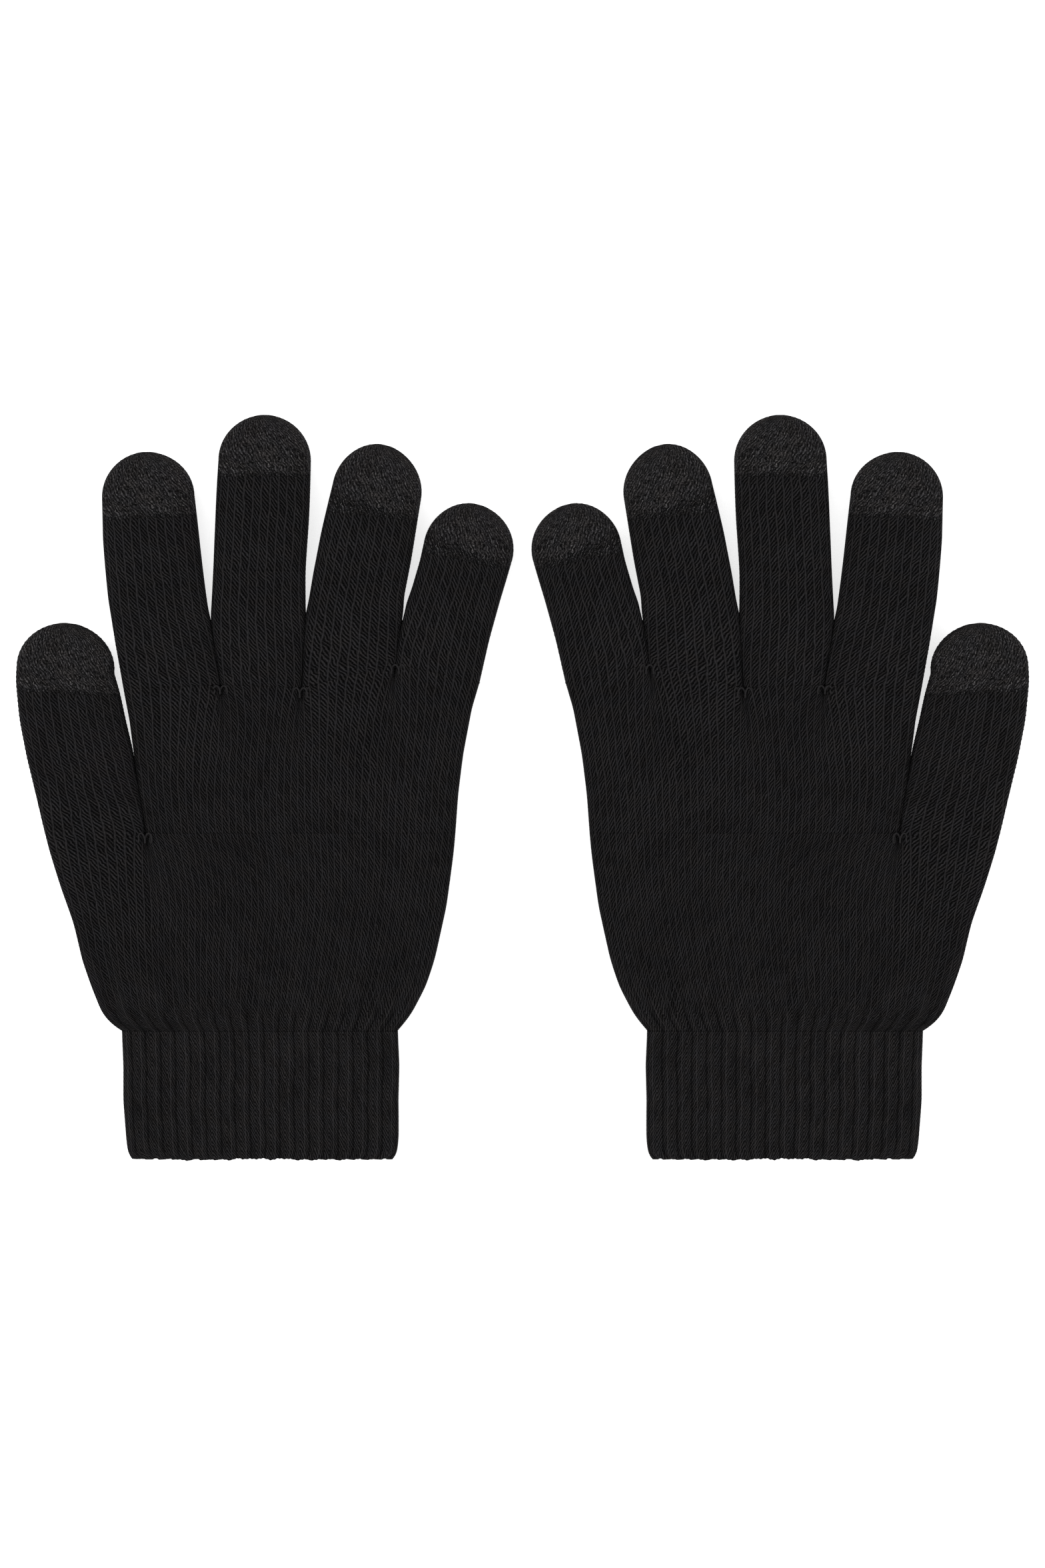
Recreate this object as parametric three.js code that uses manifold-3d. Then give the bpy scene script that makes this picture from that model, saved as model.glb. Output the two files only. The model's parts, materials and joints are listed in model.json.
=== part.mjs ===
// A pair of stretch-knit touchscreen gloves, lying side by side on their backs with the palm sides up.
// Millimetres, +Z up, fingers towards +Y. The origin is under the middle of the pair, on the surface
// that the gloves lie on. Each glove is one knitted tube per digit, a hand tube that joins them,
// a ribbed cuff with a bound edge and an elastic thread, and a closing stitch in each crotch.
import * as THREE from "three";
import { mergeVertices } from "three/addons/utils/BufferGeometryUtils.js";
import Module from "manifold-3d";

const wasm = await Module();
wasm.setup();

// ---------------------------------------------------------------- driving dimensions
const WALL = 2.0; // one layer of knit
const JOIN_GAP = 0.4; // between pieces that meet at a fold line
const DIGIT_THICK = 11; // a digit lying empty
const HAND_THICK = 12; // the hand tube lying empty
const EDGE_ROUND = 4.2; // how far a folded side edge is rounded in plan
const EDGE_RISE = 0.42; // the share of the thickness that the rounding takes on each face
const INNER_ROUND = 0.6; // how much of the inset the rounding of the hollow loses
const FOOT_TAPER = 1.6; // how much narrower a digit is where it ends inside the hand
const GLOVE_X = 75.4; // from the middle of the pair to the middle of a cuff
const WRIST_Y = -69.8; // where the cuff meets the hand
const CUFF = { halfWidth: 40, thick: 12, wall: 2.2, length: 37.7, hem: 2.2, corner: 5.4 };
const RIB = { count: 42, depth: 0.3, pointsPerRib: 4 }; // ribs all the way round the cuff
const WRIST_MOUTH = { inset: 5.4, below: 8, above: 16 }; // the way from the cuff into the hand
const ELASTIC = { radius: 0.35, clear: 0.35, sideClear: 0.6, roundness: 0.45, turns: 6, first: 5, pitch: 5,
  stepsPerTurn: 16, sides: 5 };
const CLOSING_HOLE = { radius: 1.7, sides: 10 }; // the opening that a closing stitch draws shut
const STITCH = { radius: 0.45, reach: 0.9, inset: 1.2, turns: 3, stepsPerTurn: 7, sides: 5 };
const FAR = 200; // a cutting block's size, longer than a glove is wide

// A digit: the tip's farthest point, its lean from +Y towards +X, the half-widths of its root and
// of its tip, how long the rounded end is, the lengths of its pieces from the root fold to the tip,
// how far it reaches into the hand, and the turn of its fold lines from +X.
const DIGITS = {
  thumb: { tip: [-58.6, 116.8], lean: -10.5, root: 13.8, end: 14.3, round: 13, pieces: [40, 19.4],
    inside: 34, folds: [30, 5] },
  index: { tip: [-32.9, 166.7], lean: -4.5, root: 14.0, end: 13.4, round: 13, pieces: [12, 12, 19.6],
    inside: 18, folds: [2.5, 2.5, 2.5] },
  middle: { tip: [1.7, 177.3], lean: 3.05, root: 13.7, end: 13.6, round: 12.5, pieces: [17.5, 17.5, 18.2],
    inside: 26, folds: [-1.5, -1.5, -1.5] },
  ring: { tip: [34.1, 169.4], lean: 9.5, root: 13.1, end: 13.3, round: 12.5, pieces: [15, 15, 18],
    inside: 26, folds: [-6, -6, -6] },
  little: { tip: [61.4, 151.7], lean: 12.8, root: 12.8, end: 12.8, round: 12.5, pieces: [13, 13, 13.6],
    inside: 24, folds: [-8, -8, -8] },
};

// Where neighbouring digits part, from the thumb to the little finger.
const PARTINGS = { thumb: [-33.2, 57.6], index: [-15.2, 119.6], middle: [12.6, 118.6], ring: [39.2, 109.6] };

// The stitches that close the knitting between neighbouring digits. Above them the digits' tubes
// lie against each other up to where they part.
const CLOSINGS = { thumb: [-33.0, 56.6], index: [-11.6, 99.7], middle: [11.7, 98.9], ring: [38.9, 104.6] };

// The hand's side edges, from the wrist up to the root of the little finger and from the index
// finger down to the thumb and back to the wrist.
const LITTLE_EDGE = [[CUFF.halfWidth, 0], [43.8, 5.5], [47.4, 12.1], [50.8, 25], [53.5, 39], [57.4, 70],
  [61, 93], [63.6, 106]];
const INDEX_EDGE = [[-43.6, 118.6], [-39.2, 96.8], [-35.4, 79.5]];
const THUMB_EDGE = [[-58.4, 43.5], [-54.4, 31.4], [-51.8, 20.5], [-49.1, 12.1], [-45.5, 5.5],
  [-CUFF.halfWidth, 0]];

// ---------------------------------------------------------------- materials
const yarn = (color, roughness) => new THREE.MeshStandardMaterial({ color, roughness, metalness: 0 });
const BODY_YARN = yarn(0x19191a, 0.95);
const TIP_YARN = yarn(0x2a2a2b, 0.85);
const RIB_YARN = yarn(0x1c1c1d, 0.95);
const THREAD = yarn(0x151516, 0.9);
const ELASTIC_THREAD = yarn(0x0f0f10, 0.6);

// ---------------------------------------------------------------- solids
const radians = THREE.MathUtils.degToRad;

function solidOf(geometry) {
  const bare = geometry.clone();
  bare.deleteAttribute("normal");
  bare.deleteAttribute("uv");
  const merged = mergeVertices(bare, 1e-4);
  return new wasm.Manifold(new wasm.Mesh({
    numProp: 3,
    vertProperties: merged.attributes.position.array,
    triVerts: new Uint32Array(merged.index.array),
  }));
}

function geometryOf(solid) {
  const mesh = solid.getMesh();
  const geometry = new THREE.BufferGeometry();
  geometry.setAttribute("position", new THREE.BufferAttribute(mesh.vertProperties, 3));
  geometry.setIndex(new THREE.BufferAttribute(mesh.triVerts, 1));
  geometry.computeVertexNormals();
  return geometry;
}

// A flat pouch of an outline in XY, standing on z = 0 with rounded side edges. inset shrinks it
// on every side, which makes the hollow inside the same pouch.
function pouch(outline, thick, inset, curveSegments) {
  const rise = (thick - 2 * inset) * EDGE_RISE;
  const round = EDGE_ROUND - inset * INNER_ROUND;
  const geometry = new THREE.ExtrudeGeometry(outline, {
    depth: thick - 2 * inset - 2 * rise,
    bevelThickness: rise,
    bevelSize: round,
    bevelOffset: -round - inset,
    bevelSegments: 2,
    curveSegments,
  });
  return geometry.translate(0, 0, inset + rise);
}

// A block that keeps what lies between two fold lines across a digit.
function slab(from, to, skew) {
  const box = new THREE.BoxGeometry(FAR, to - from, FAR);
  box.translate(0, (from + to) / 2, 0);
  const turned = box.translate(0, -from, 0).rotateZ(skew).translate(0, from, 0);
  return solidOf(turned);
}

// What lies between two fold lines that may be turned differently.
function between(solid, from, fromSkew, to, toSkew) {
  return solid
    .intersect(slab(from, from + FAR, fromSkew))
    .subtract(slab(to, to + FAR, toSkew));
}

// ---------------------------------------------------------------- digits
// A digit's own frame has its origin on the middle of the root fold and +Y towards the tip.
function digitFrame(digit) {
  const length = digit.pieces.reduce((sum, piece) => sum + piece, 0);
  const lean = radians(digit.lean);
  const group = new THREE.Group();
  group.position.set(
    digit.tip[0] - length * Math.sin(lean),
    digit.tip[1] - length * Math.cos(lean),
    0,
  );
  group.rotation.z = -lean;
  group.updateMatrix();
  return { group, length, skews: digit.folds.map((turn) => radians(turn + digit.lean)) };
}

function digitOutline(digit, length) {
  const shape = new THREE.Shape();
  const foot = digit.root - FOOT_TAPER;
  shape.moveTo(-foot, -digit.inside);
  shape.lineTo(foot, -digit.inside);
  shape.lineTo(digit.root, 0);
  shape.lineTo(digit.end, length - digit.round);
  shape.absellipse(0, length - digit.round, digit.end, digit.round, 0, Math.PI, false, 0);
  shape.lineTo(-digit.root, 0);
  shape.closePath();
  return shape;
}

function makeDigit(digit) {
  const frame = digitFrame(digit);
  const outline = digitOutline(digit, frame.length);
  return {
    ...frame,
    outer: pouch(outline, DIGIT_THICK, 0, 5),
    inner: pouch(outline, DIGIT_THICK, WALL, 5),
  };
}

// The sleeves and the tip of a digit, in its own frame, from the root fold outwards.
function digitPieces(name, digit, made) {
  const shell = solidOf(made.outer).subtract(solidOf(made.inner));
  const labels = name === "thumb" ? ["sleeve", "tip"] : ["lower_sleeve", "upper_sleeve", "tip"];
  let at = 0;
  return digit.pieces.map((length, i) => {
    const last = i === digit.pieces.length - 1;
    const end = last ? at + length + digit.round : at + length - JOIN_GAP / 2;
    const piece = between(shell, at + JOIN_GAP / 2, made.skews[i], end, made.skews[last ? i : i + 1]);
    at += length;
    return { label: `${name}_${labels[i]}`, solid: piece, material: last ? TIP_YARN : BODY_YARN };
  });
}

// ---------------------------------------------------------------- hand
function handOutline() {
  const corners = [
    ...LITTLE_EDGE,
    PARTINGS.ring,
    PARTINGS.middle,
    PARTINGS.index,
    ...INDEX_EDGE,
    PARTINGS.thumb,
    ...THUMB_EDGE,
  ];
  return new THREE.Shape(corners.map(([x, y]) => new THREE.Vector2(x, y)));
}

// The hand tube with the roots of the digits, open at the wrist and into every digit.
function makeHand(digits) {
  const outline = handOutline();
  let outer = solidOf(pouch(outline, HAND_THICK, 0, 2));
  let inner = solidOf(pouch(outline, HAND_THICK, WALL, 2));
  for (const { outer: whole, inner: hollow, group, skews } of digits) {
    const root = solidOf(whole).subtract(slab(-JOIN_GAP / 2, FAR, skews[0]));
    outer = outer.add(solidOf(geometryOf(root).applyMatrix4(group.matrix)));
    inner = inner.add(solidOf(hollow.clone().applyMatrix4(group.matrix)));
  }
  const { inset, below, above } = WRIST_MOUTH;
  const opening = new THREE.BoxGeometry(2 * (CUFF.halfWidth - inset), above + below, HAND_THICK - 2 * WALL);
  const mouth = solidOf(opening.translate(0, (above - below) / 2, HAND_THICK / 2));
  const wrist = slab(JOIN_GAP / 2 - FAR, JOIN_GAP / 2, 0);
  let hand = outer.subtract(inner.add(mouth)).subtract(wrist);
  for (const [x, y] of Object.values(CLOSINGS)) {
    const { radius, sides } = CLOSING_HOLE;
    const hole = new THREE.CylinderGeometry(radius, radius, 3 * HAND_THICK, sides);
    hand = hand.subtract(solidOf(hole.rotateX(Math.PI / 2).translate(x, y, 0)));
  }
  return hand;
}

// ---------------------------------------------------------------- cuff
function roundedBox(shape, halfWidth, low, high, corner) {
  shape.moveTo(-halfWidth + corner, low);
  shape.lineTo(halfWidth - corner, low);
  shape.absarc(halfWidth - corner, low + corner, corner, -Math.PI / 2, 0, false);
  shape.absarc(halfWidth - corner, high - corner, corner, 0, Math.PI / 2, false);
  shape.absarc(-halfWidth + corner, high - corner, corner, Math.PI / 2, Math.PI, false);
  shape.absarc(-halfWidth + corner, low + corner, corner, Math.PI, 1.5 * Math.PI, false);
  return shape;
}

// The cuff's outline with a wave for every rib.
function ribbedRing() {
  const { halfWidth, thick, corner } = CUFF;
  const { count, depth, pointsPerRib } = RIB;
  const middle = roundedBox(new THREE.Shape(), halfWidth - depth, depth, thick - depth, corner);
  const total = count * pointsPerRib;
  const points = middle.getSpacedPoints(total).slice(0, total);
  return new THREE.Shape(points.map((point, i) => {
    const along = points[(i + 1) % total].clone().sub(points[(i + total - 1) % total]).normalize();
    const out = depth * Math.cos((2 * Math.PI * i) / pointsPerRib);
    return new THREE.Vector2(point.x + along.y * out, point.y - along.x * out);
  }));
}

// A length of the flattened cuff tube, from one distance below the wrist to another.
function cuffTube(ring, from, to) {
  const { halfWidth, thick, wall, corner } = CUFF;
  const inside = roundedBox(new THREE.Path(), halfWidth - wall, wall, thick - wall, corner - wall);
  ring.holes.push(inside);
  const options = { depth: to - from, bevelEnabled: false, curveSegments: 2 };
  const geometry = new THREE.ExtrudeGeometry(ring, options);
  return geometry.rotateX(Math.PI / 2).translate(0, -from, 0);
}

// The covered elastic that draws the rib in: one thread wound round inside the cuff.
class CuffWinding extends THREE.Curve {
  getPoint(t, target = new THREE.Vector3()) {
    const { radius, clear, sideClear, roundness, turns, first, pitch } = ELASTIC;
    const inset = CUFF.wall + clear + radius;
    const angle = t * turns * 2 * Math.PI;
    const flat = (value) => Math.sign(value) * Math.abs(value) ** roundness;
    return target.set(
      (CUFF.halfWidth - inset - sideClear) * flat(Math.cos(angle)),
      -first - t * turns * pitch,
      CUFF.thick / 2 + (CUFF.thick / 2 - inset) * flat(Math.sin(angle)),
    );
  }
}

function thread(path, radius, sides, steps) {
  const section = new THREE.Shape();
  section.absarc(0, 0, radius, 0, 2 * Math.PI, false);
  return new THREE.ExtrudeGeometry(section, {
    steps,
    extrudePath: path,
    curveSegments: sides / 2,
    bevelEnabled: false,
  });
}

// ---------------------------------------------------------------- closing stitches
// The yarn end that draws the knitting shut between two digits: a small upright winding.
class ClosingWinding extends THREE.Curve {
  getPoint(t, target = new THREE.Vector3()) {
    const angle = t * STITCH.turns * 2 * Math.PI;
    return target.set(
      STITCH.reach * Math.cos(angle),
      STITCH.reach * Math.sin(angle),
      STITCH.inset + t * (HAND_THICK - 2 * STITCH.inset),
    );
  }
}

// ---------------------------------------------------------------- glove
function makeGlove(side) {
  const glove = new THREE.Group();
  const place = (parent, label, geometry, material) => {
    const mesh = new THREE.Mesh(geometry, material);
    mesh.name = `${side}_${label}`;
    parent.add(mesh);
    return mesh;
  };

  const digits = Object.entries(DIGITS).map(([name, digit]) => ({ name, digit, ...makeDigit(digit) }));
  place(glove, "hand", geometryOf(makeHand(digits)), BODY_YARN);
  for (const made of digits) {
    for (const { label, solid, material } of digitPieces(made.name, made.digit, made)) {
      place(made.group, label, geometryOf(solid), material);
    }
    glove.add(made.group);
  }

  const hemAt = CUFF.length - CUFF.hem;
  const plainRing = roundedBox(new THREE.Shape(), CUFF.halfWidth, 0, CUFF.thick, CUFF.corner);
  place(glove, "cuff", cuffTube(ribbedRing(), JOIN_GAP / 2, hemAt - JOIN_GAP / 2), RIB_YARN);
  place(glove, "cuff_hem", cuffTube(plainRing, hemAt + JOIN_GAP / 2, CUFF.length), RIB_YARN);
  const steps = ELASTIC.turns * ELASTIC.stepsPerTurn;
  const elastic = thread(new CuffWinding(), ELASTIC.radius, ELASTIC.sides, steps);
  place(glove, "cuff_elastic", elastic, ELASTIC_THREAD);

  const stitchSteps = STITCH.turns * STITCH.stepsPerTurn;
  for (const [name, [x, y]] of Object.entries(CLOSINGS)) {
    const stitch = thread(new ClosingWinding(), STITCH.radius, STITCH.sides, stitchSteps);
    place(glove, `${name}_closing_stitch`, stitch, THREAD).position.set(x, y, 0);
  }

  glove.position.set(-GLOVE_X, WRIST_Y, 0);
  return glove;
}

const pair = new THREE.Group();
pair.add(makeGlove("left"));
const mirrored = new THREE.Group();
mirrored.add(makeGlove("right"));
mirrored.scale.x = -1;
pair.add(mirrored);

export default pair;
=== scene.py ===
"""Looks of a pair of stretch-knit touchscreen gloves, lying on their backs side by side.

One glove is built as grids of knitted fabric, laid out in wales (columns of stitches) and courses
(rows of stitches), and the other glove is its mirror image. Lengths in the tables are millimetres
in the glove's own frame: x from the middle of the cuff, y from the line where the cuff meets the hand.
"""

import json
import math

import bpy
import numpy as np
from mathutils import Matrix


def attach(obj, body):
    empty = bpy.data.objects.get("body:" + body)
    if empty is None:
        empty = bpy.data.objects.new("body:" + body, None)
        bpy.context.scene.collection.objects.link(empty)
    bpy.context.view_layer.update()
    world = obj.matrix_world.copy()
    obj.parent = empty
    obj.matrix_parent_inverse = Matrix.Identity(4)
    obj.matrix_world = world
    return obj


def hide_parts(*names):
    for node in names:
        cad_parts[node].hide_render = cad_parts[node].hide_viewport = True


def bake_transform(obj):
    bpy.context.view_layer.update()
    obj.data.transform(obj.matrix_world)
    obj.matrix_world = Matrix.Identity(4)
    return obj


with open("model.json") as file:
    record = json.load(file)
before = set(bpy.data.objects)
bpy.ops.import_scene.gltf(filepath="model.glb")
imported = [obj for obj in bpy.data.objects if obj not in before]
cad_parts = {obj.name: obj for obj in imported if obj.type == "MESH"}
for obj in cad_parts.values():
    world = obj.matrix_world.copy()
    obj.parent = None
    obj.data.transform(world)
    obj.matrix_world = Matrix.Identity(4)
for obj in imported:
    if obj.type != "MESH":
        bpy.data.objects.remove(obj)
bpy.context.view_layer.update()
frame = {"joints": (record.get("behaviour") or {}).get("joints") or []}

# ---------------------------------------------------------------- sizes
GLOVE_X = 75.4
WRIST_Y = -69.8
MIDDLE_Z = 5.6  # height of the fold plane between the palm side and the back
COURSE = 1.29
WALES_PER_DIGIT = 12
LOW_WALES = 5 * WALES_PER_DIGIT  # round half of the hand where the thumb is knitted in with it
HIGH_WALES = 4 * WALES_PER_DIGIT
CUFF_COURSES = 29
HEM_COURSES = 2
LOW_COURSES = 43  # counted from the wrist to where the thumb is closed off
HIGH_COURSES = 77  # counted from the wrist to where the fingers are closed off
END_COURSES = 12  # in the rounded end of a digit
DIP_FADE = 4.0  # how far below a closing stitch the furrow between digits runs out
PLACE_FADE = 9.0  # how far below it the wales are still drawn to the side
HAND_HALF_THICK = 5.3
DIGIT_HALF_THICK = 5.1
CUFF_HALF_THICK = 5.2
WALL = 1.5
HAND_SQUARENESS = 4.5
DIGIT_SQUARENESS = 2.7
ROOT_SQUARENESS = 4.0  # where digits press against each other
STITCH_HEIGHT = 0.34
SLANT = 2.5  # courses that a slanting leg drops across its wale
LINE_PLACE = 0.88  # where across a wale its upright line stands
COLUMN_PLACE = 0.38  # where across a wale its column of slanting legs is widest
PLAIN_WALES = (0.9, 1.15)  # where in a rib of three wales the two plain ones begin
BOLD_LINE = (2.4, 2.6)  # where in a rib the one upright line that stands out begins
DIGIT_STITCHES = {"thumb": 14 / 12, "index": 13 / 12, "middle": 13 / 12, "ring": 13 / 12, "little": 13 / 12}
COURSE_SAMPLES = 3  # rows of vertices in a course
WALE_SAMPLES = 6  # columns of vertices in a wale
INNER_STEP = 3  # the inner face is coarser by this much

# Edges of the cuff up to the wrist, and of the hand from the wrist up.
CUFF_LEFT = [(-37.6, -36.7), (-38.7, -35.3), (-39.2, -31), (-39.9, -20), (-39.8, -10), (-40.2, 0)]
CUFF_RIGHT = [(37.9, -36.7), (39.2, -35.3), (39.6, -31), (39.5, -20), (39.9, -10), (39.5, 0)]
LEFT_LOW = [(-40.2, 0), (-43.1, 1.8), (-46.0, 5.0), (-49.1, 12.7), (-51.8, 20.4), (-54.3, 31.0),
            (-57.6, 41.0), (-60.7, 51.6)]
RIGHT_LOW = [(39.5, 0), (41.4, 2.2), (43.5, 5.0), (47.4, 12.7), (49.9, 20.4), (53.3, 35.8),
             (55.4, 51.2), (56.0, 57.0)]
THUMB_CLOSING = (-33.5, 57.0)
LEFT_HIGH = [THUMB_CLOSING, (-35.4, 69.0), (-36.8, 81.0), (-37.9, 89.7), (-39.7, 98.5)]
RIGHT_HIGH = [(56.0, 57.0), (57.0, 68.0), (58.6, 80.0), (61.0, 93.0), (63.2, 100.5)]

# Edges of each digit from the stitches that close it off to where its rounded end begins, and
# whether another digit or the hand touches its left and its right edge up to where they part.
THUMB_ROOT = LEFT_LOW[-1]
DIGITS = {
    "thumb": {
        "touches": (0, 1),
        "left": [THUMB_ROOT, (-64.7, 66.6), (-67.6, 78.2), (-69.7, 89.7), (-70.8, 101.3), (-70.5, 106.3)],
        "right": [THUMB_CLOSING, (-35.0, 69.0), (-37.3, 81.0), (-39.4, 89.7), (-40.9, 97.4), (-42.4, 103.2)],
        "round": 13.0,
    },
    "index": {
        "touches": (0, 1),
        "left": [LEFT_HIGH[-1], (-42.5, 112.8), (-44.3, 124.4), (-45.8, 142.0), (-46.2, 153.6)],
        "right": [(-11.6, 99.7), (-14.9, 120.0), (-17.5, 139.8), (-19.4, 154.6)],
        "round": 13.1,
    },
    "middle": {
        "touches": (1, 1),
        "left": [(-11.6, 99.7), (-14.8, 120.0), (-13.9, 139.8), (-13.2, 151.3), (-12.3, 164.8)],
        "right": [(11.7, 98.9), (12.8, 119.7), (12.9, 132.1), (13.8, 147.0), (14.4, 164.8)],
        "round": 13.1,
    },
    "ring": {
        "touches": (1, 1),
        "left": [(11.7, 98.9), (12.9, 119.7), (14.8, 132.1), (17.1, 143.6), (20.6, 158.0)],
        "right": [(38.9, 105.6), (39.4, 112.0), (40.9, 124.4), (43.3, 135.9), (46.6, 153.6)],
        "round": 13.3,
    },
    "little": {
        "touches": (1, 0),
        "left": [(38.9, 105.6), (39.7, 112.0), (42.6, 124.4), (45.8, 135.9), (47.0, 142.0)],
        "right": [RIGHT_HIGH[-1], (66.0, 112.8), (69.1, 124.4), (71.4, 132.1), (72.6, 136.2)],
        "round": 13.0,
    },
}
FINGERS = ["index", "middle", "ring", "little"]
CLOSINGS = {"thumb": THUMB_CLOSING, "index": (-11.6, 99.7), "middle": (11.7, 98.9), "ring": (38.9, 105.6)}
TILTED_TIPS = ("ring", "little")  # the conductive yarn starts on a slope in these
TILT_COURSES = 3.0  # how much later it starts on their edge towards the thumb
TILT_START = 2  # courses below the tip's fold line where their tip pieces begin

# Reaches before and after a joint's fold line, in metres.
KNUCKLE_REACH = 0.005
TIP_BEND = (0.0, 0.006)
THUMB_BEND = (-0.001, 0.012)
WRIST_BEND = (0.0, 0.012)

# Darkest and lightest colour of each yarn, and of its loose fibres: the darkest is painted shade in the
# hollows between the stitches, the lightest the yarn on its raised legs.
BODY_YARN_AND_SHADE = ((0.0018, 0.0017, 0.0018), (0.035, 0.0335, 0.0345))
RIB_YARN_AND_SHADE = ((0.0015, 0.0014, 0.0015), (0.044, 0.042, 0.0428))
TIP_YARN_AND_SHADE = ((0.0016, 0.0015, 0.0016), (0.066, 0.0625, 0.0635))
BODY_FLECK = (0.07, 0.067, 0.068)
TIP_FLECK = (0.34, 0.33, 0.32)


# ---------------------------------------------------------------- camera, light and floor
def set_camera():
    data = bpy.data.cameras.new("camera")
    camera = bpy.data.objects.new("camera", data)
    bpy.context.scene.collection.objects.link(camera)
    picture_height = 0.4528
    data.sensor_fit = "VERTICAL"
    data.sensor_height = 36
    data.lens = 100
    data.clip_end = 20
    distance = picture_height * data.lens / data.sensor_height
    camera.location = (0, 0.0014, distance + MIDDLE_Z / 1000)
    bpy.context.scene.camera = camera


def set_light():
    world = bpy.data.worlds.new("studio")
    bpy.context.scene.world = world
    world.use_nodes = True
    background = world.node_tree.nodes["Background"]
    background.inputs["Color"].default_value = (1, 1, 1, 1)
    background.inputs["Strength"].default_value = 0.75
    lamps = [("key", (-0.9, 1.1, 1.5), 1.2, 9.0), ("fill", (1.2, -0.6, 1.6), 1.4, 4.0)]
    for name, place, size, power in lamps:
        data = bpy.data.lights.new(name, "AREA")
        data.size = size
        data.energy = power
        lamp = bpy.data.objects.new(name, data)
        bpy.context.scene.collection.objects.link(lamp)
        lamp.location = place
        lamp.rotation_euler = (-lamp.location).to_track_quat("-Z", "Y").to_euler()
    bpy.context.scene.view_settings.view_transform = "Standard"


def set_floor():
    mesh = bpy.data.meshes.new("floor")
    half = 6.0
    corners = [(-half, -half, 0), (half, -half, 0), (half, half, 0), (-half, half, 0)]
    mesh.from_pydata(corners, [], [(0, 1, 2, 3)])
    floor = bpy.data.objects.new("floor", mesh)
    bpy.context.scene.collection.objects.link(floor)
    paper = bpy.data.materials.new("white_paper")
    paper.use_nodes = True
    shader = paper.node_tree.nodes["Principled BSDF"]
    shader.inputs["Base Color"].default_value = (0.9, 0.9, 0.9, 1)
    shader.inputs["Roughness"].default_value = 0.9
    shader.inputs["Emission Color"].default_value = (1, 1, 1, 1)
    shader.inputs["Emission Strength"].default_value = 0.65
    mesh.materials.append(paper)


# ---------------------------------------------------------------- yarn and knit materials
class Maths:
    """Short ways to add math nodes to one node tree."""

    def __init__(self, tree):
        self.tree = tree

    def __call__(self, operation, *values, clamp=False):
        node = self.tree.nodes.new("ShaderNodeMath")
        node.operation = operation
        node.use_clamp = clamp
        for socket, value in zip(node.inputs, values):
            if isinstance(value, (int, float)):
                socket.default_value = value
            else:
                self.tree.links.new(value, socket)
        return node.outputs[0]

    def step(self, value, low, high):
        """0 up to low, 1 from high, and smooth in between."""
        node = self.tree.nodes.new("ShaderNodeMapRange")
        node.interpolation_type = "SMOOTHSTEP"
        for name, amount in (("Value", value), ("From Min", low), ("From Max", high)):
            if isinstance(amount, (int, float)):
                node.inputs[name].default_value = amount
            else:
                self.tree.links.new(amount, node.inputs[name])
        return node.outputs["Result"]

    def bump(self, value, middle, half_width):
        """1 at middle, falling smoothly to 0 at half_width either side."""
        away = self("ABSOLUTE", self("SUBTRACT", value, middle))
        return self("SUBTRACT", 1.0, self.step(away, 0.0, half_width))

    def noise(self, vector, scale, detail=2.0):
        node = self.tree.nodes.new("ShaderNodeTexNoise")
        self.tree.links.new(vector, node.inputs["Vector"])
        node.inputs["Scale"].default_value = scale
        node.inputs["Detail"].default_value = detail
        return node.outputs["Fac"]

    def mix(self, factor, dark, light):
        node = self.tree.nodes.new("ShaderNodeMix")
        node.data_type = "RGBA"
        self.tree.links.new(factor, node.inputs["Factor"])
        for socket, value in ((node.inputs[6], dark), (node.inputs[7], light)):
            if isinstance(value, tuple):
                socket.default_value = (*value, 1)
            else:
                self.tree.links.new(value, socket)
        return node.outputs[2]


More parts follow.
